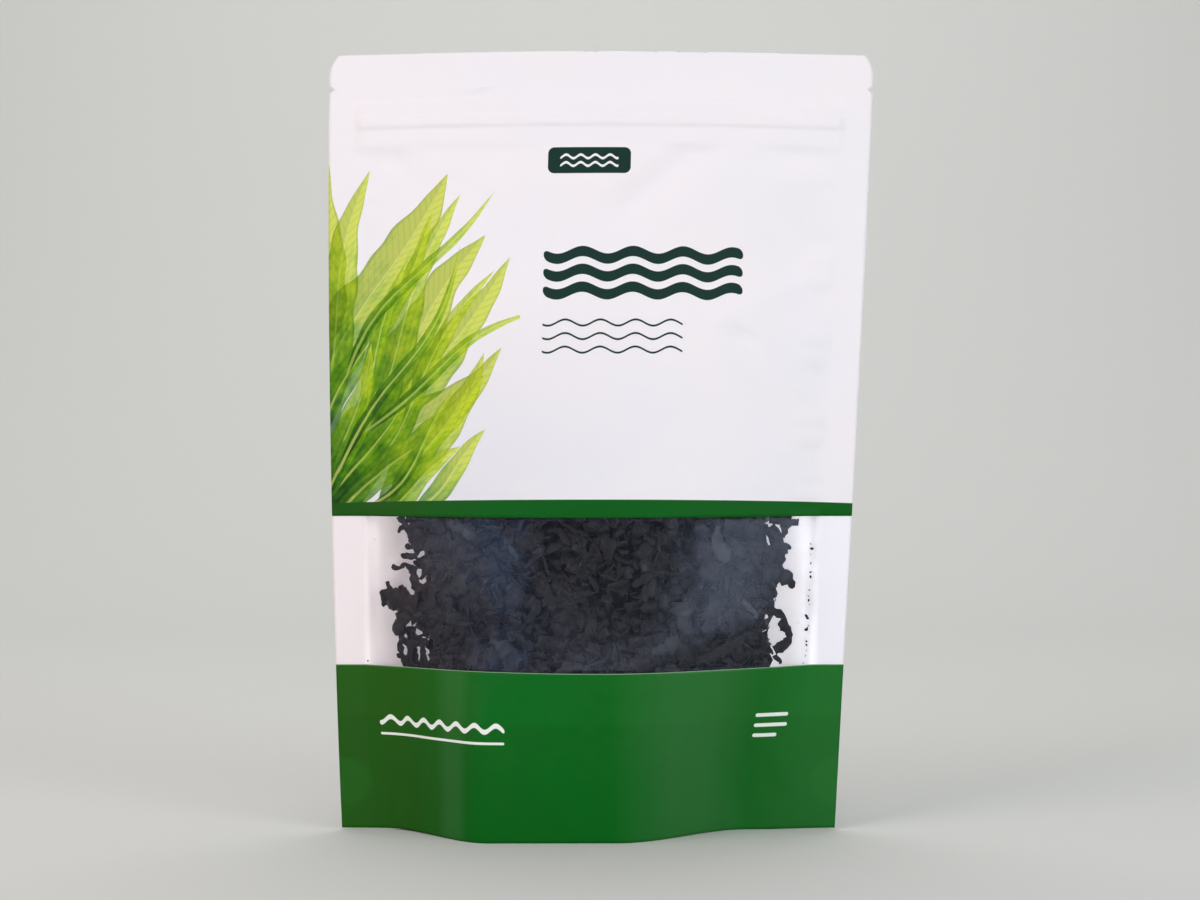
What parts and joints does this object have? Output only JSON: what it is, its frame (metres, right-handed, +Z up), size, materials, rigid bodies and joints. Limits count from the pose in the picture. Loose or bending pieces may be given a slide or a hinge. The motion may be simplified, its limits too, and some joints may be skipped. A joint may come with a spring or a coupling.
{
  "type": "stand-up zip pouch of dried wakame flakes",
  "caption": "Sealed stand-up pouch of laminated film with a zip, a clear window strip and a bottom gusset, filled with dried wakame flakes.",
  "frame": {"origin": "on the surface the pouch stands on, under the middle of its box", "axes": "+Z up, the printed front with the window faces -Y, +X to the right seen from the front"},
  "size_m": [0.181, 0.0622, 0.257],
  "materials": {
    "film_white": "satin",
    "film_green": "satin",
    "film_clear": "gloss",
    "zip_plastic": "satin",
    "dried_wakame": "satin"
  },
  "bodies": {
    "root": {"front_film_white": "film_white", "front_film_band": "film_green", "front_film_window": "film_clear", "front_film_green": "film_green", "back_film": "film_white", "bottom_gusset": "film_green", "zip_front": "zip_plastic", "zip_back": "zip_plastic", "wakame_flakes": "dried_wakame"}
  },
  "joints": []
}
